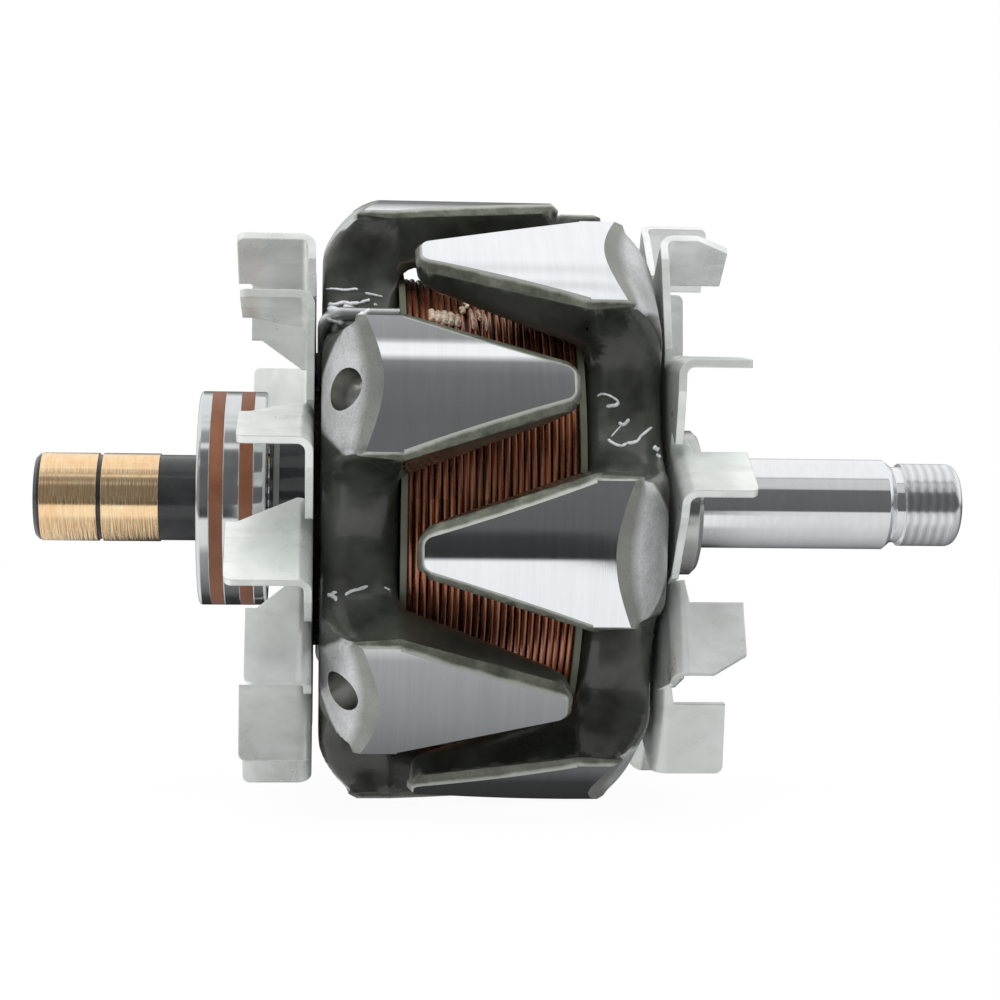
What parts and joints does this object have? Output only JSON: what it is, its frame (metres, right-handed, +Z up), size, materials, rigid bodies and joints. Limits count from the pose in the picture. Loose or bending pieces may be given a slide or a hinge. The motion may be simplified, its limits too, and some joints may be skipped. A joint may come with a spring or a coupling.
{
  "type": "alternator rotor",
  "caption": "Claw-pole rotor for a vehicle alternator: wound field coil between two clawed pole cores, bent-blade fans, slip rings and rear bearing on one shaft.",
  "frame": {"origin": "on the shaft axis at the middle of the claw band", "axes": "+X along the shaft towards the pulley thread, +Z up, angles about the shaft from +Y to +Z"},
  "size_m": [0.1523, 0.098, 0.098],
  "materials": {
    "turned_steel": "fine turned",
    "core_steel": "turned claw faces, varnished sides",
    "bobbin_plastic": "satin",
    "enamelled_copper": "varnished wire",
    "ring_copper": "turned, lightly worn",
    "black_moulding": "satin",
    "grey_rubber": "matt",
    "zinc_sheet": "zinc plated",
    "bearing_steel": "ground",
    "ball_steel": "polished",
    "cage_plastic": "satin",
    "seal_rubber": "matt",
    "band_resin": "satin"
  },
  "bodies": {
    "rotor": {"bearing_inner_ring": "bearing_steel", "bobbin": "bobbin_plastic", "coil_lead_inner": "enamelled_copper", "coil_lead_outer": "enamelled_copper", "field_coil": "enamelled_copper", "front_fan": "zinc_sheet", "front_pole_core": "core_steel", "inner_slip_ring": "ring_copper", "insulator_band": "grey_rubber", "lead_insulator": "black_moulding", "outer_slip_ring": "ring_copper", "rear_fan": "zinc_sheet", "rear_pole_core": "core_steel", "shaft": "turned_steel", "slip_ring_bar_inner": "ring_copper", "slip_ring_bar_outer": "ring_copper", "slip_ring_moulding": "black_moulding", "spacer_collar": "turned_steel"},
    "bearing_outer": {"bearing_outer_ring": "bearing_steel", "bearing_band_outboard": "band_resin", "bearing_band_inboard": "band_resin", "bearing_seal_outboard": "seal_rubber", "bearing_seal_inboard": "seal_rubber"},
    "ball_set": {"bearing_balls": "ball_steel", "bearing_cage": "cage_plastic"}
  },
  "joints": [
    {"name": "bearing_spin", "type": "hinge", "parent": "rotor", "child": "bearing_outer", "pos_m": [-0.04, 0, 0], "axis": [1, 0, 0], "continuous": true},
    {"name": "ball_spin", "type": "hinge", "parent": "rotor", "child": "ball_set", "pos_m": [-0.04, 0, 0], "axis": [1, 0, 0], "continuous": true}
  ],
  "couplings": [
    {"joint": "ball_spin", "follows": "bearing_spin", "ratio": 0.6184}
  ]
}
